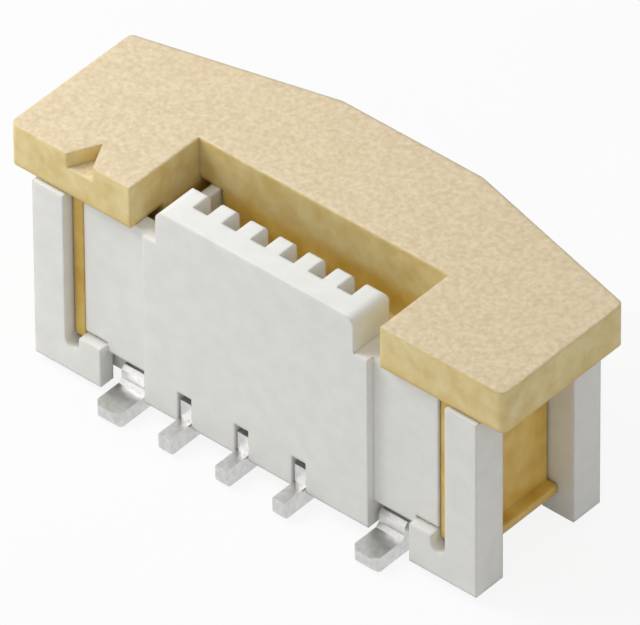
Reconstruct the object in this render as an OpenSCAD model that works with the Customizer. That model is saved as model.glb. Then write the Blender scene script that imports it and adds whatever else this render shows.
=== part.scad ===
// Vertical surface-mount connector for a flexible printed circuit, 0.5 mm pitch,
// six circuits, with a pull-up slider that clamps the circuit against the contacts.
// X runs along the row of contacts, Y from front to back, Z up from the board.
// The origin is on the board, in the middle of the housing.

/* [Circuits] */
// Distance between neighbouring contacts
pitch = 0.5; // [0.48:0.01:0.52]
// Thickness of the sheet that the contacts are blanked from
contact_t = 0.2; // [0.12:0.01:0.21]

/* [Housing] */
// Distance from an end contact's middle to the end of the contact block
block_end = 0.71; // [0.68:0.01:0.8]
// Length of a side panel, from the block to the slit beside the post
panel_l = 1.12; // [1.05:0.01:1.4]
// Width of the upright slit beside each post
slit_w = 0.24; // [0.2:0.01:0.3]
// Length of one end post along the row
post_l = 0.54; // [0.48:0.01:0.7]
// Depth of one end post, from front to back
post_d = 0.54; // [0.4:0.01:0.56]
// Depth of the housing over its front and rear posts
housing_d = 2.52; // [2.48:0.02:2.7]
// Height of the flat top that the slider rests on
housing_h = 3.12; // [3.08:0.02:3.4]
// How far the posts end below the flat top
post_drop = 0.04; // [0.02:0.01:0.1]
// Height of the posts' feet above the board
post_gap = 0.11; // [0.06:0.01:0.2]
// Height of the slit's lower end above the board
slit_z = 0.52; // [0.46:0.02:0.58]
// How far the side panels lie behind the posts' faces
panel_set = 0.15; // [0.1:0.01:0.2]
// Wall of the side panels
panel_t = 0.24; // [0.18:0.01:0.26]
// Height of the bars that join the posts' feet
bar_h = 0.64; // [0.54:0.01:0.68]
// Depth of the bars, from front to back
bar_t = 0.25; // [0.2:0.01:0.3]
// Height of the thin gap between a bar and the panel over it
bar_gap = 0.05; // [0.04:0.01:0.12]

/* [Contact block] */
// How far the block's face lies behind the posts' faces
block_set = 0.04; // [0.02:0.01:0.08]
// Height of the block's underside above the board
block_gap = 0.23; // [0.16:0.01:0.26]
// Depth of the block's front wall, which the contacts' slots open into
front_wall = 0.72; // [0.7:0.01:0.8]
// Depth of the middle slot, for the flexible circuit and the wedge
cavity_d = 1.04; // [1:0.01:1.08]
// Wall at each end of the middle slot
end_wall = 0.16; // [0.12:0.01:0.18]
// Height of the middle slot's floor above the board
floor_z = 0.9; // [0.86:0.01:0.94]

/* [Comb] */
// How far the comb's ends lie inside the block's ends
comb_set = 0.24; // [0.18:0.01:0.26]
// Radius of the comb's upper corners, at both ends of the row
comb_r = 0.14; // [0.06:0.01:0.2]
// Height of the comb's top above the housing's flat top
comb_h = 0.57; // [0.4:0.01:0.6]
// Depth of the solid strip in front of the comb's slots
comb_strip = 0.37; // [0.34:0.01:0.42]
// Width of one slot in the comb
comb_slot = 0.25; // [0.23:0.01:0.27]
// Radius of the lead-in along the comb's rear edge
lead_r = 0.09; // [0.04:0.01:0.2]

/* [Slider] */
// How far the slider's flange reaches past the posts at each end
flange_over = 0.42; // [0.3:0.01:0.6]
// How far the flange's front edge lies behind the posts' faces
flange_set = 0.05; // [0.02:0.01:0.1]
// Thickness of the flange
flange_t = 0.68; // [0.6:0.01:0.8]
// How far the middle of the flange bulges out to the rear
bulge_d = 0.77; // [0.4:0.01:1]
// Length of the straight edge on the bulge
bulge_l = 2.44; // [2:0.02:3]
// Radius of the flange's upright corners
flange_r = 0.1; // [0.04:0.01:0.2]
// Distance from the block's end to the side of the recess in the flange
recess_side = 0.21; // [0.16:0.01:0.3]
// Depth of the recess from the flange's front edge
recess_d = 1.39; // [1.3:0.01:1.5]
// Distance from the flange's end to the middle of the first circuit's notch
notch_x = 1.23; // [1:0.01:1.4]
// Width of the notch at the flange's front edge
notch_w = 0.46; // [0.3:0.02:0.5]
// Depth of the notch from the front edge
notch_d = 0.46; // [0.3:0.02:0.5]
// Depth of the notch below the flange's top
notch_h = 0.24; // [0.1:0.02:0.35]
// Thickness of the flexible circuit that the closed slider leaves room for
circuit_t = 0.3; // [0.2:0.01:0.32]
// Thickness of the wedge that presses the flexible circuit
wedge_t = 0.56; // [0.44:0.01:0.58]
// Distance that the slider lifts to free the flexible circuit
lift = 0.88; // [0.6:0.01:0.9]
// How far the arms' outer faces lie inside the housing's ends
arm_set = 0.43; // [0.38:0.01:0.48]
// Height of the arms' lower end above the board
arm_z = 0.51; // [0.4:0.01:0.54]
// How far the lip along the arms' lower end stands out
lip_w = 0.17; // [0.06:0.01:0.2]
// Height of that lip
lip_h = 0.14; // [0.06:0.01:0.3]

/* [Tails] */
// Height of a contact's soldered tail
tail_h = 0.3; // [0.24:0.01:0.32]
// Distance that the front and rear tails stand out from the block
tail_out = 0.42; // [0.3:0.01:0.7]
// Width of the relief in the block's face over each tail
relief_w = 0.24; // [0.23:0.01:0.3]
// Height of the relief's top above the board
relief_z = 0.74; // [0.68:0.01:0.84]

/* [Solder tabs] */
// Width of a solder tab along the row
tab_w = 0.45; // [0.36:0.01:0.48]
// Thickness of the sheet that the tabs are bent from
tab_t = 0.24; // [0.18:0.01:0.25]
// Length of the pocket that a tab's foot comes out of
pocket_l = 0.74; // [0.7:0.01:0.85]
// Distance from the block's end to a tab's near edge
tab_x = 0.07; // [0.05:0.01:0.15]
// How far the tabs' feet reach in front of the posts' faces
tab_out = 0.41; // [0.3:0.01:0.5]

/* [Hidden] */
$fn = 48;
circuits = 6;
eps = 0.02;                               // how far a cut or an overlap runs past a face
slide_gap = 0.03;                         // clearance of the slider in the housing
seat_gap = 0.01;                          // clearance of a contact or a tab in its slot
block_l = (circuits - 1) * pitch + 2 * block_end;  // length of the contact block
panel_x = block_l / 2 + panel_l;          // the panels' outer sides
post_x = panel_x + slit_w;                // the posts' inner sides
end_x = post_x + post_l;                  // the housing's ends
front_y = -housing_d / 2;                 // the posts' front faces
post_z = housing_h - post_drop;           // the posts' tops
block_y = front_y + block_set;            // the block's front face
panel_y = front_y + panel_set;            // the side panels' front faces
cavity_x = block_l / 2 - end_wall;        // the middle slot's ends
comb_back_y = block_y + front_wall;       // the front wall's rear face
cavity_back_y = comb_back_y + cavity_d;   // the rear wall's inner face
rear_slot_d = 0.28;                       // depth of the contacts' slots in the rear wall
slot_front_y = block_y + comb_strip;      // front ends of the contacts' slots
slot_back_y = cavity_back_y + rear_slot_d;  // rear ends of the contacts' slots
slot_w = contact_t + 2 * seat_gap;        // width of the slots in the block's floor
bar_z = post_gap + bar_h;                 // the bars' tops
panel_z = bar_z + bar_gap;                // the panels' lower edges
apron_z = panel_z - 0.15;                 // the panels' lower edges over the solder tabs
chamber_y = -panel_y - panel_t;           // half the depth of the end chambers
plate_z = slit_z - eps;                   // top of the plate under an end chamber
comb_top_z = housing_h + comb_h;          // the comb's flat top
stop_w = 0.6;                             // width of the ledge that stops the slider
stop_l = 0.16;                            // how far the ledge stands out
stop_t = 0.4;                             // height of the ledge, and of the hook that meets it
hook_z = plate_z + stop_t;                // the hook's top
stop_z = hook_z + lift + seat_gap;        // the ledge's underside
flange_y = front_y + flange_set;          // the flange's front edge
flange_x = end_x + flange_over;           // the flange's ends
flange_z = housing_h + seat_gap;          // the flange's underside when it is closed
flange_top_z = flange_z + flange_t;       // the flange's top
recess_x = block_l / 2 + recess_side;     // the recess's sides
recess_y = flange_y + recess_d;           // the recess's rear wall
wedge_gap = 0.07;                         // room beside the flexible circuit
wedge_y = comb_back_y + circuit_t + wedge_gap;  // the wedge's clamping face
wedge_back_y = wedge_y + wedge_t;         // the wedge's rear face
wedge_z = floor_z + 0.15;                 // the wedge's lower end
wedge_tip = 0.14;                         // how far the wedge's lower edges are cut back
wedge_tip_h = 0.3;                        // height of that cut
wedge_face_h = 1.2;                       // height of the upper end of the clamping face
wedge_root_h = 1.55;                      // height at which the wedge meets the recess's wall
leg_x = block_l / 2 + stop_l + slide_gap; // inner side of the slider's legs
leg_y = chamber_y - panel_t - 2 * slide_gap;  // half the depth of the legs
hook_l = stop_l - 2 * slide_gap;          // how far the slider's hook stands out
arm_x = end_x - arm_set;                  // the arms' outer faces
arm_y = -front_y - post_d - slide_gap;    // half the width of the arms' outer plates
rib_set = 0.02;                           // how far the guide ribs lie behind the panels' faces
beam_t = 0.17;                            // width of a contact's springy beams
front_beam_h = 2.6;                       // height of the front beam over the contact's base
rear_beam_h = 2.1;                        // height of the rear beam over the contact's base
nose_z = 1.7;                             // height of the point that presses the circuit
nose_r = 0.1;                             // radius of that point
nose_h = 0.25;                            // half the height of the point's root
riser_h = 0.6;                            // height of a tail's riser
riser_set = 0.03;                         // how far a riser lies behind the block's face
tab_near_x = block_l / 2 + tab_x;         // a tab's side next to the block
blade_z = 2;                              // top of a tab's blade
tab_gap = 0.15;                           // height of the gap between a tab and the panel over it
tab_edge = 0.06;                          // size of the bends' slopes
tab_bevel = 0.09;                         // how far the toe's corners are cut off

// place of contact number i along the row
function contact_x(i) = (i - (circuits + 1) / 2) * pitch;
// odd contacts are soldered in front, even ones behind
function tail_side(i) = i % 2 == 1 ? -1 : 1;

// points of an arc, from angle a to angle b
function arc(centre, r, a, b, steps = 6) =
    [for (k = [0 : steps]) centre + r * [cos(a + (b - a) * k / steps), sin(a + (b - a) * k / steps)]];

// a convex outline, counter-clockwise, with its corners rounded
function rounded(points, r) = [for (k = [0 : len(points) - 1])
    each round_corner(points[(k + len(points) - 1) % len(points)], points[k],
                      points[(k + 1) % len(points)], r)];
function round_corner(before, at, after, r) =
    let (u = (before - at) / norm(before - at), v = (after - at) / norm(after - at),
         half = acos(u * v) / 2, mid = (u + v) / norm(u + v),
         centre = at + mid * r / sin(half), a = atan2(-v.x, v.y), out = 90 - half)
    [for (k = [-1 : 0.5 : 1]) centre - r * [mid.x * cos(k * out) - mid.y * sin(k * out),
                                            mid.x * sin(k * out) + mid.y * cos(k * out)]];

// a block between its lowest and highest corners
module span(low, high) {
    translate(low) cube(high - low);
}

// a block at the front, y0 to y1, or its mirror image at the rear
module span_side(side, x, y, z) {
    span([x[0], side < 0 ? y[0] : -y[1], z[0]], [x[1], side < 0 ? y[1] : -y[0], z[1]]);
}

// the same thing at both ends of the row
module both_ends() {
    children();
    mirror([1, 0, 0]) children();
}

// an outline in the Y-Z plane, drawn out along X
module along_x(x0, x1) {
    translate([x0, 0, 0]) rotate([90, 0, 90]) linear_extrude(x1 - x0) children();
}

// an outline in the X-Z plane, drawn out along Y
module along_y(y0, y1) {
    translate([0, y1, 0]) rotate([90, 0, 0]) linear_extrude(y1 - y0) children();
}

// ---------- housing ----------

// front wall and comb from the side, with a round lead-in to the slot behind
module comb_side() {
    translate([block_y, floor_z]) square([front_wall, comb_top_z - lead_r - floor_z]);
    translate([block_y, floor_z]) square([front_wall - lead_r, comb_top_z - floor_z]);
    translate([comb_back_y - lead_r, comb_top_z - lead_r]) circle(lead_r);
}

// front wall and comb from the front, with round upper corners
module comb_front() {
    half_l = block_l / 2 - comb_set;
    translate([-half_l, floor_z]) square([2 * half_l, comb_top_z - comb_r - floor_z]);
    translate([comb_r - half_l, floor_z]) square([2 * (half_l - comb_r), comb_top_z - floor_z]);
    for (side = [-1, 1]) translate([side * (half_l - comb_r), comb_top_z - comb_r]) circle(comb_r);
}

module comb() {
    intersection() {
        along_x(-block_l / 2, block_l / 2) comb_side();
        along_y(block_y - eps, comb_back_y + eps) comb_front();
    }
}

module contact_slot(i) {
    face_y = tail_side(i) * -block_y;
    inner_y = tail_side(i) < 0 ? slot_front_y : slot_back_y;
    translate([contact_x(i), 0, 0]) {
        // slot in the front wall, open at its top and to the middle slot
        span([-comb_slot / 2, slot_front_y, floor_z], [comb_slot / 2, comb_back_y + eps, comb_top_z + eps]);
        // slot in the rear wall
        span([-comb_slot / 2, cavity_back_y - eps, floor_z], [comb_slot / 2, slot_back_y, housing_h + eps]);
        // slot through the floor
        span([-slot_w / 2, slot_front_y, block_gap - eps], [slot_w / 2, slot_back_y, floor_z + eps]);
        // relief in the face over the tail
        span([-relief_w / 2, min(face_y - eps, inner_y), block_gap - eps],
             [relief_w / 2, max(face_y + eps, inner_y), relief_z]);
    }
}

// panels, posts, bars and base plate of one end
module housing_end() {
    for (side = [-1, 1]) {
        bar_x = block_l / 2 + (side < 0 ? pocket_l : -eps);
        web_x = bar_x + (side < 0 ? bar_t / 2 : 0);
        span_side(side, [block_l / 2 - eps, panel_x], [panel_y, panel_y + panel_t], [panel_z, housing_h]);
        span_side(side, [block_l / 2 - eps, block_l / 2 + pocket_l], [panel_y, panel_y + panel_t],
                  [apron_z, panel_z + eps]);
        span_side(side, [post_x, end_x], [front_y, front_y + post_d], [post_gap, post_z]);
        span_side(side, [bar_x, post_x + eps], [front_y, front_y + bar_t], [post_gap, bar_z]);
        span_side(side, [web_x, post_x + eps], [front_y + eps, -chamber_y], [post_gap, plate_z]);
    }
    span([block_l / 2 - eps, -chamber_y - 2 * eps, block_gap], [panel_x, chamber_y + 2 * eps, plate_z]);
    // ledge that stops the slider when it is pulled up
    span([block_l / 2 - eps, -stop_w / 2, stop_z], [block_l / 2 + stop_l, stop_w / 2, stop_z + stop_t]);
}

// the slit's lower end, with a round bottom
module slit_end() {
    for (side = [-1, 1]) span_side(side, [panel_x, post_x], [front_y - eps, -chamber_y + eps],
                                   [slit_z + slit_w / 2, panel_z]);
    translate([(panel_x + post_x) / 2, 0, slit_z + slit_w / 2]) for (side = [-1, 1])
        along_y(side < 0 ? front_y - eps : chamber_y - eps, side < 0 ? -chamber_y + eps : -front_y + eps)
            circle(slit_w / 2);
}

module housing() color("white") {
    difference() {
        union() {
            span([-block_l / 2, block_y, block_gap], [block_l / 2, -block_y, housing_h]);
            comb();
            both_ends() housing_end();
        }
        span([-cavity_x, comb_back_y, floor_z], [cavity_x, cavity_back_y, comb_top_z + eps]);
        for (i = [1 : circuits]) contact_slot(i);
        both_ends() slit_end();
        both_ends() tab_slot();
    }
}

// slot in the base plate that holds a solder tab
module tab_slot() {
    span([tab_near_x - seat_gap, -chamber_y - 3 * eps, block_gap - eps],
         [tab_near_x + tab_w + seat_gap, -chamber_y + tab_t + seat_gap, plate_z + eps]);
}

// ---------- slider ----------

// the wedge from the side: clamping face in front, tapered lower end
module wedge_side() {
    top_z = flange_z + eps;
    polygon([[recess_y, top_z], [recess_y, wedge_z + wedge_root_h], [wedge_y, wedge_z + wedge_face_h],
             [wedge_y, wedge_z + wedge_tip_h], [wedge_y + wedge_tip, wedge_z],
             [wedge_back_y - wedge_tip, wedge_z], [wedge_back_y, wedge_z + wedge_tip_h],
             [wedge_back_y, top_z]]);
}

module slider_arm() {
    foot_z = plate_z + slide_gap;
    top_z = flange_z + eps;
    // leg inside the end chamber
    span([leg_x, -leg_y, foot_z], [panel_x + slit_w / 2, leg_y, top_z]);
    // hook that meets the housing's ledge
    span([leg_x - hook_l, -stop_w / 2 + slide_gap, foot_z], [leg_x + eps, stop_w / 2 - slide_gap, hook_z]);
    // outer plate between the posts, and the lip along its lower end
    span([panel_x + slide_gap, -arm_y, arm_z], [arm_x, arm_y, top_z]);
    span([arm_x - eps, -arm_y, arm_z], [arm_x + lip_w, arm_y, arm_z + lip_h]);
    // guide ribs in the slits
    span([panel_x + slide_gap, panel_y + rib_set, slit_z + slit_w / 2],
         [post_x - slide_gap, -panel_y - rib_set, top_z]);
}

module actuator() color("burlywood") {
    rear_y = -flange_y;
    outline = [[-flange_x, flange_y], [flange_x, flange_y], [flange_x, rear_y],
               [bulge_l / 2, rear_y + bulge_d], [-bulge_l / 2, rear_y + bulge_d], [-flange_x, rear_y]];
    difference() {
        translate([0, 0, flange_z]) linear_extrude(flange_t) polygon(rounded(outline, flange_r));
        span([-recess_x, flange_y - eps, flange_z - eps], [recess_x, recess_y, flange_top_z + eps]);
        translate([notch_x - flange_x, flange_y, flange_top_z - notch_h]) linear_extrude(notch_h + eps)
            polygon([[-notch_w / 2, 0], [-notch_w / 2, -eps], [notch_w / 2, -eps], [notch_w / 2, 0],
                     [0, notch_d]]);
    }
    along_x(slide_gap - cavity_x, cavity_x - slide_gap) wedge_side();
    both_ends() slider_arm();
}

// ---------- contacts and solder tabs ----------

// a contact from the side, without its tail
module contact_side() {
    y0 = slot_front_y + seat_gap;
    y1 = slot_back_y - seat_gap;
    base_z = tail_h + 3 * eps;
    base_top = floor_z - 0.1;
    nose_y = comb_back_y + 0.05 - nose_r;
    // base, and the two beams that stand on it
    translate([y0, base_z]) square([y1 - y0, base_top - base_z]);
    translate([y0, base_z]) square([beam_t, front_beam_h]);
    translate([y1 - beam_t, base_z]) square([beam_t, rear_beam_h]);
    // point that presses the flexible circuit
    polygon([[y0 + beam_t - eps, nose_z - nose_h], [nose_y, nose_z - nose_r], [nose_y, nose_z + nose_r],
             [y0 + beam_t - eps, nose_z + nose_h]]);
    translate([nose_y, nose_z]) circle(nose_r);
}

// the tail that goes out to the front, or to the rear as its mirror image
module contact_tail(side) {
    y_in = side < 0 ? slot_front_y + seat_gap : seat_gap - slot_back_y;
    y_out = block_y - tail_out;
    riser_y = block_y + riser_set;
    toe = tail_h / 3;
    mirror([side < 0 ? 0 : 1, 0]) {
        // riser that fills the lower part of the relief
        translate([riser_y, 0]) square([y_in + 5 * eps - riser_y, riser_h]);
        // sole, with a round toe
        translate([y_out + toe, 0]) square([y_in - y_out - toe, tail_h]);
        translate([y_out, toe]) square([toe + eps, tail_h - toe]);
        translate([y_out + toe, toe]) circle(toe);
    }
}

module contact(i) color("silver") {
    translate([contact_x(i), 0, 0]) along_x(-contact_t / 2, contact_t / 2) {
        contact_side();
        contact_tail(tail_side(i));
    }
}

// a solder tab from the side: foot, riser, step back under the panel, and blade
module tab_side() {
    heel_y = panel_y + eps;
    blade_y = -chamber_y;
    toe_y = front_y - tab_out;
    step_z = apron_z - tab_gap;
    polygon([[toe_y, tab_edge], [toe_y + tab_edge, 0], [heel_y + tab_t, 0], [heel_y + tab_t, step_z - tab_t],
             [blade_y + tab_t, step_z - tab_t], [blade_y + tab_t, blade_z], [blade_y, blade_z],
             [blade_y, step_z], [heel_y + tab_edge, step_z], [heel_y, step_z - tab_edge],
             [heel_y, tab_t + tab_edge], [heel_y - tab_edge, tab_t], [toe_y, tab_t]]);
}

module solder_tab() color("silver") {
    toe_y = front_y - tab_out;
    far_x = tab_near_x + tab_w;
    intersection() {
        along_x(tab_near_x, far_x) tab_side();
        linear_extrude(blade_z + eps)
            polygon([[tab_near_x + tab_bevel, toe_y], [far_x - tab_bevel, toe_y], [far_x, toe_y + tab_bevel],
                     [far_x, 0], [tab_near_x, 0], [tab_near_x, toe_y + tab_bevel]]);
    }
}

housing();
actuator();
contact(1);  // contact_1
contact(2);  // contact_2
contact(3);  // contact_3
contact(4);  // contact_4
contact(5);  // contact_5
contact(6);  // contact_6
mirror([1, 0, 0]) solder_tab();  // solder_tab_left
solder_tab();  // solder_tab_right
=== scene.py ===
# %% [markdown]
# # A flexible-circuit connector, six contacts
#
# This lesson dresses a finished CAD model of a small surface-mount connector.
# The model already has every solid: a white housing, an amber slider that clamps
# the flexible circuit, six contacts and two solder tabs. Blender adds what CAD
# leaves out: mould texture, softly shaded edges, metal, light and a camera.

import math

import bpy
from mathutils import Matrix, Vector


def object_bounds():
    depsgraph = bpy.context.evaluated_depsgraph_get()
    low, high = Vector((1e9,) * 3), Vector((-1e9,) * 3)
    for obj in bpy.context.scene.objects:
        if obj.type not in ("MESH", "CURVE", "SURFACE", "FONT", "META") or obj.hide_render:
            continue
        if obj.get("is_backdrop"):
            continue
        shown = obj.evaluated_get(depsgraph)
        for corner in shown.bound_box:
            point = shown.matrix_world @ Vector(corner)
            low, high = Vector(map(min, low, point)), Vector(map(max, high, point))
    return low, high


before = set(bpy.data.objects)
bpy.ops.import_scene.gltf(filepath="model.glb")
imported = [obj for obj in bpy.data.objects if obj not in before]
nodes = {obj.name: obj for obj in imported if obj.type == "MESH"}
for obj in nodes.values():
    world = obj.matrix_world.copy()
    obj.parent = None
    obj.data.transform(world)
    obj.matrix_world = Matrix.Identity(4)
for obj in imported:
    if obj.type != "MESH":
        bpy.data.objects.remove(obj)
low_start, high_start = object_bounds()
print("solids:", sorted(nodes))
print("size in mm:", [round(1000 * s, 3) for s in high_start - low_start])

# %% [markdown]
# ## Sizes in millimetres
#
# The model is in metres and the whole connector is less than nine millimetres
# long. Numbers such as 0.00003 are easy to mistype, so every length below is
# written in millimetres and turned into metres by one short helper.

# %% Millimetres
def mm(length):
    return length * 0.001


print("one contact pitch in metres:", mm(0.5))

# %% [markdown]
# ## A tool for writing materials
#
# Each finish is a small graph of nodes. Typing out every node and link hides the
# idea behind it, so this helper adds a node, sets its inputs and joins it to the
# nodes before it. An input given as a socket becomes a link, and a plain value
# is typed into the socket itself.

# %% Node helper
def add_node(tree, kind, settings=None, **inputs):
    node = tree.nodes.new(kind)
    for name, value in (settings or {}).items():
        setattr(node, name, value)
    for name, value in inputs.items():
        socket = node.inputs[name.replace("_", " ")]
        if isinstance(value, bpy.types.NodeSocket):
            tree.links.new(value, socket)
        else:
            socket.default_value = value
    return node


def new_finish(name):
    finish = bpy.data.materials.new(name)
    finish.use_nodes = True
    tree = finish.node_tree
    tree.nodes.clear()
    return finish, tree


# %% [markdown]
# ## Two colours that drift into each other
#
# Moulded resin is never one flat colour: pigment and glass fibres are spread a
# little unevenly. A noise texture read through a colour ramp gives that drift.
# The noise uses object coordinates, which are the same metres as the model, so
# its scale is the number of spots in one metre.

# %% Drift of colour
def linear(hex_colour):
    channels = [int(hex_colour[i : i + 2], 16) / 255 for i in (0, 2, 4)]
    return [c / 12.92 if c <= 0.04045 else ((c + 0.055) / 1.055) ** 2.4 for c in channels] + [1.0]


def drift(tree, place, spot, light_colour, dark_colour, start=0.35, stop=0.65):
    noise = add_node(tree, "ShaderNodeTexNoise", Vector=place, Scale=1 / mm(spot), Detail=3.0)
    ramp = add_node(tree, "ShaderNodeValToRGB", Fac=noise.outputs["Fac"])
    first, last = ramp.color_ramp.elements
    first.position, first.color = start, linear(dark_colour)
    last.position, last.color = stop, linear(light_colour)
    return ramp.outputs["Color"]


# %% [markdown]
# ## The skin of moulded resin
#
# Both resins share one kind of skin. It is satin, with a very fine grain from the
# spark-eroded mould and a wide, shallow waviness where the resin shrank. The Bevel
# node rounds the light at every edge, as mould polish does, and some light travels
# inside the resin, which softens thin walls. One function makes the skin, and each
# resin gives it a colour of its own.

# %% Resin skin
def resin_skin(tree, place, colour, roughness, grain, scatter, edge):
    fine = add_node(tree, "ShaderNodeTexNoise", Vector=place, Scale=1 / mm(0.03), Detail=4.0)
    wavy = add_node(tree, "ShaderNodeTexNoise", Vector=place, Scale=1 / mm(0.8), Detail=1.0)
    edges = add_node(tree, "ShaderNodeBevel", {"samples": 6}, Radius=mm(edge))
    wave = add_node(tree, "ShaderNodeBump", Height=wavy.outputs["Fac"], Strength=0.2, Distance=mm(0.05),
                    Normal=edges.outputs["Normal"])
    skin = add_node(tree, "ShaderNodeBump", Height=fine.outputs["Fac"], Strength=grain,
                    Distance=mm(0.005), Normal=wave.outputs["Normal"])
    rough = add_node(tree, "ShaderNodeMapRange", Value=fine.outputs["Fac"])
    rough.inputs["To Min"].default_value = roughness - 0.06
    rough.inputs["To Max"].default_value = roughness + 0.06
    shader = add_node(tree, "ShaderNodeBsdfPrincipled", Base_Color=colour, Roughness=rough.outputs["Result"],
                      Normal=skin.outputs["Normal"])
    shader.inputs["Subsurface Weight"].default_value = scatter
    shader.inputs["Subsurface Radius"].default_value = (mm(0.14), mm(0.11), mm(0.06))
    shader.inputs["Subsurface Scale"].default_value = 1.0
    add_node(tree, "ShaderNodeOutputMaterial", Surface=shader.outputs["BSDF"])


# %% [markdown]
# ## White resin
#
# The housing is a heat-proof resin, pigmented white. The pigment hides nearly all
# variation, so the two colours of its drift lie close together. The colour is a
# plain white with a trace of warmth, not pure white, so that its faces still show
# different tones in the light.

# %% White resin
white_resin, tree = new_finish("white_resin")
place = add_node(tree, "ShaderNodeTexCoord").outputs["Object"]
white = drift(tree, place, 0.3, "E9E9E5", "E4E4E0")
resin_skin(tree, place, white, roughness=0.5, grain=0.3, scatter=0.2, edge=0.06)
print("white resin nodes:", len(tree.nodes))

# %% [markdown]
# ## Amber resin
#
# The slider is moulded in an unpainted amber resin. Light goes some way into it.
# Light and shade are painted into its colour: a face that looks up is painted pale
# as if lit, a side face is painted yellower as painted shade, and the wedge and the
# arms under the flange are painted deepest, as painted shade under the flange. Two
# mixes do this: one reads which way the face looks, and one reads the height above
# the board.

# %% Amber resin
def share(tree, value, low, high):
    reach = add_node(tree, "ShaderNodeMapRange", {"interpolation_type": "SMOOTHSTEP"}, Value=value)
    reach.inputs["From Min"].default_value = low
    reach.inputs["From Max"].default_value = high
    return reach.outputs["Result"]


def blend_colours(tree, part, first, second):
    mix = add_node(tree, "ShaderNodeMix", {"data_type": "RGBA"})
    tree.links.new(part, mix.inputs[0])
    tree.links.new(first, mix.inputs[6])
    tree.links.new(second, mix.inputs[7])
    return mix.outputs[2]


amber_resin, tree = new_finish("amber_resin")
place = add_node(tree, "ShaderNodeTexCoord").outputs["Object"]
axes = add_node(tree, "ShaderNodeSeparateXYZ", Vector=place)
surface = add_node(tree, "ShaderNodeNewGeometry")
facing = add_node(tree, "ShaderNodeSeparateXYZ", Vector=surface.outputs["Normal"])
# painted light and shade: the first colour is the painted lit top, the next two are painted shade for sides
# and for parts under the flange
painted_lit_amber = drift(tree, place, 0.07, "E4D5B6", "D3BF9B", 0.3, 0.7)
painted_side_shade_amber = drift(tree, place, 0.3, "E6D59C", "DAC17F")
painted_deep_shade_amber = drift(tree, place, 0.5, "E6C468", "D2A844")
# painted shade: the facing mix paints tops lit and sides shaded, the height mix paints shade under the
# flange
painted_light_by_facing = share(tree, facing.outputs["Z"], 0.2, 0.8)
painted_shade_below_flange = share(tree, axes.outputs["Z"], mm(2.95), mm(3.3))
painted_lit_and_side_shade = blend_colours(tree, painted_light_by_facing, painted_side_shade_amber, painted_lit_amber)
amber_with_painted_shade = blend_colours(tree, painted_shade_below_flange, painted_deep_shade_amber, painted_lit_and_side_shade)
resin_skin(tree, place, amber_with_painted_shade, roughness=0.4, grain=0.45, scatter=0.3, edge=0.08)
print("amber resin nodes:", len(tree.nodes))

# %% [markdown]
# ## Tinned metal
#
# Contacts and solder tabs are blanked from copper alloy and plated with matt
# tin. Tin is bright but not a mirror: the plating leaves fine pits, and the
# blanked edges carry faint lines. Noise stretched along one axis gives the lines.

# %% Tinned metal
def tinned_metal(name):
    finish, tree = new_finish(name)
    place = add_node(tree, "ShaderNodeTexCoord").outputs["Object"]
    colour = drift(tree, place, 0.08, "DCDCDC", "CFCECB")
    stretch = add_node(tree, "ShaderNodeMapping", Vector=place)
    stretch.inputs["Scale"].default_value = (1.0, 1.0, 0.15)
    lines = add_node(tree, "ShaderNodeTexNoise", Vector=stretch.outputs["Vector"],
                     Scale=1 / mm(0.03), Detail=3.0)
    skin = add_node(tree, "ShaderNodeBump", Height=lines.outputs["Fac"], Strength=0.3,
                    Distance=mm(0.003))
    rough = add_node(tree, "ShaderNodeMapRange", Value=lines.outputs["Fac"])
    rough.inputs["To Min"].default_value = 0.28
    rough.inputs["To Max"].default_value = 0.46
    shader = add_node(tree, "ShaderNodeBsdfPrincipled", Base_Color=colour, Roughness=rough.outputs["Result"],
                      Normal=skin.outputs["Normal"])
    shader.inputs["Metallic"].default_value = 1.0
    add_node(tree, "ShaderNodeOutputMaterial", Surface=shader.outputs["BSDF"])
    return finish


metal_finish = tinned_metal("metal_finish")
print("metal nodes:", len(metal_finish.node_tree.nodes))

# %% [markdown]
# ## Put the finishes on
#
# Each solid takes one finish, chosen by its name: the housing takes the white
# resin, the actuator the amber resin, and every other solid the tinned metal.

# %% Finishes on the solids
def wear(piece, finish):
    piece.data.materials.clear()
    piece.data.materials.append(finish)


for name, piece in nodes.items():
    if name == "housing":
        wear(piece, white_resin)
    elif name == "actuator":
        wear(piece, amber_resin)
    else:
        wear(piece, metal_finish)

# %% [markdown]
# ## Clean faces
#
# The solids arrive as triangles. A planar decimate joins the triangles of each flat
# face into one, and weighted normals keep flat faces evenly shaded beside round
# ones. The edges themselves stay sharp in the mesh: their softness comes from the
# Bevel node in the resins.

# %% Clean faces
def clean_faces(piece):
    flat = piece.modifiers.new("flat_faces", "DECIMATE")
    flat.decimate_type = "DISSOLVE"
    flat.angle_limit = math.radians(0.5)
    smooth = piece.modifiers.new("even_shading", "WEIGHTED_NORMAL")
    smooth.keep_sharp = True
    for face in piece.data.polygons:
        face.use_smooth = True


for piece in nodes.values():
    clean_faces(piece)
print("cleaned:", len(nodes), "solids")

# %% [markdown]
# ## The floor
#
# A pale floor under the connector keeps its soft shadow. Seen by the camera, the
# floor is mostly plain white light of strength 1, so the background is white
# without any more light on the connector itself.

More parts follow.
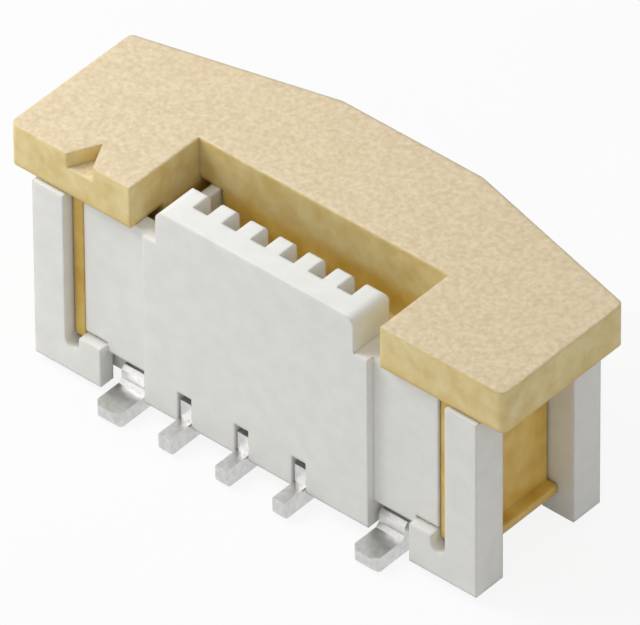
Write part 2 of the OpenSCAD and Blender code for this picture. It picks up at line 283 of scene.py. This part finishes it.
# %% Floor
def white_to_camera(tree, surface, white_part):
    path = add_node(tree, "ShaderNodeLightPath")
    seen = add_node(tree, "ShaderNodeMath", {"operation": "MAXIMUM"})
    tree.links.new(path.outputs["Is Camera Ray"], seen.inputs[0])
    tree.links.new(path.outputs["Is Glossy Ray"], seen.inputs[1])
    both = add_node(tree, "ShaderNodeMath", {"operation": "MAXIMUM"})
    tree.links.new(seen.outputs[0], both.inputs[0])
    tree.links.new(path.outputs["Is Transmission Ray"], both.inputs[1])
    part = add_node(tree, "ShaderNodeMath", {"operation": "MULTIPLY"})
    tree.links.new(both.outputs[0], part.inputs[0])
    part.inputs[1].default_value = white_part
    glow = add_node(tree, "ShaderNodeEmission")
    glow.inputs["Color"].default_value = (1, 1, 1, 1)
    glow.inputs["Strength"].default_value = 1.0
    mix = add_node(tree, "ShaderNodeMixShader")
    tree.links.new(part.outputs[0], mix.inputs[0])
    tree.links.new(surface, mix.inputs[1])
    tree.links.new(glow.outputs["Emission"], mix.inputs[2])
    return mix.outputs["Shader"]


def pale_floor():
    half = 1.5
    corners = [(-half, -half, 0), (half, -half, 0), (half, half, 0), (-half, half, 0)]
    mesh = bpy.data.meshes.new("floor")
    mesh.from_pydata(corners, [], [(0, 1, 2, 3)])
    floor = bpy.data.objects.new("floor", mesh)
    bpy.context.scene.collection.objects.link(floor)
    finish, tree = new_finish("floor_paint")
    place = add_node(tree, "ShaderNodeTexCoord").outputs["Object"]
    colour = drift(tree, place, 4.0, "E4E4E4", "DEDEDE")
    paint = add_node(tree, "ShaderNodeBsdfDiffuse", Color=colour)
    shown = white_to_camera(tree, paint.outputs["BSDF"], 0.88)
    add_node(tree, "ShaderNodeOutputMaterial", Surface=shown)
    mesh.materials.append(finish)
    floor.location.z = mm(-0.002)
    floor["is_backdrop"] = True
    return floor


floor = pale_floor()
print("floor at z =", floor.location.z)

# %% [markdown]
# ## Light
#
# The part is lit as in a small light tent: a broad lamp from the upper left front
# and a bright surround. The surround is the world, and it is seen as plain white.

# %% World
world = bpy.data.worlds.new("tent")
bpy.context.scene.world = world
world.use_nodes = True
tent = world.node_tree
tent.nodes.clear()
around = add_node(tent, "ShaderNodeBackground")
around.inputs["Color"].default_value = (1.0, 0.995, 0.985, 1)
around.inputs["Strength"].default_value = 0.6
plain = add_node(tent, "ShaderNodeBackground")
plain.inputs["Color"].default_value = (1, 1, 1, 1)
plain.inputs["Strength"].default_value = 1.0
eye = add_node(tent, "ShaderNodeLightPath")
both = add_node(tent, "ShaderNodeMixShader")
tent.links.new(eye.outputs["Is Camera Ray"], both.inputs[0])
tent.links.new(around.outputs["Background"], both.inputs[1])
tent.links.new(plain.outputs["Background"], both.inputs[2])
add_node(tent, "ShaderNodeOutputWorld", Surface=both.outputs["Shader"])
print("surround strength:", around.inputs["Strength"].default_value)

# %% [markdown]
# ## One broad lamp
#
# A disk lamp twice as wide as the connector is long gives shadows without a hard
# edge. It stands close, so the left end is a little brighter than the right one.

# %% Lamp
def soft_lamp(name, place, aim, size, power):
    data = bpy.data.lights.new(name, "AREA")
    data.shape = "DISK"
    data.size = mm(size)
    data.energy = power
    lamp = bpy.data.objects.new(name, data)
    bpy.context.scene.collection.objects.link(lamp)
    lamp.location = Vector(place) * mm(1)
    lamp.rotation_mode = "QUATERNION"
    lamp.rotation_quaternion = (lamp.location - Vector(aim) * mm(1)).to_track_quat("Z", "Y")
    return lamp


key = soft_lamp("key_lamp", (-18, -9, 24), (0, 0, 2), 18, 0.0056)
print("key lamp power in W:", key.data.energy)

# %% [markdown]
# ## Camera
#
# The view is a product view from the right front and above, with a very long
# lens, so parallel edges stay almost parallel. The camera is placed by its angle
# round the part, its height and a small roll, and it looks at the part's middle.

# %% Camera
azimuth = math.radians(41.09)
elevation = math.radians(40.32)
roll = math.radians(-0.45)
distance = mm(223.8)
middle = Vector((0, 0, mm(2.04)))
shift_right, shift_up = mm(0.0605), mm(0.0351)
sensor_width = 36.0
focal_pixels, picture_width = 16948.67, 640
right = Vector((math.cos(azimuth), math.sin(azimuth), 0))
back = Vector((math.sin(azimuth) * math.cos(elevation), -math.cos(azimuth) * math.cos(elevation),
               math.sin(elevation)))
up = back.cross(right)
right_turned = right * math.cos(roll) + up * math.sin(roll)
up_turned = up * math.cos(roll) - right * math.sin(roll)

lens = bpy.data.cameras.new("camera")
lens.sensor_fit = "HORIZONTAL"
lens.sensor_width = sensor_width
lens.lens = focal_pixels / picture_width * sensor_width
lens.clip_start, lens.clip_end = 0.02, 20.0
camera = bpy.data.objects.new("camera", lens)
bpy.context.scene.collection.objects.link(camera)
turn = Matrix((right_turned, up_turned, back)).transposed().to_4x4()
place = middle + right_turned * shift_right + up_turned * shift_up + back * distance
camera.matrix_world = Matrix.Translation(place) @ turn
bpy.context.scene.camera = camera
print("lens in mm:", round(lens.lens, 1))

# %% [markdown]
# ## Check the size and finish
#
# Dressing a part must not change its size. The box is measured again, and its
# change from the box at the start is printed.

# %% Check and finish
bpy.context.scene.view_settings.view_transform = "Standard"
low_end, high_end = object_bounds()
change = (high_end - low_end) - (high_start - low_start)
print("size changed by:", [round(1000 * c, 4) for c in change], "mm")
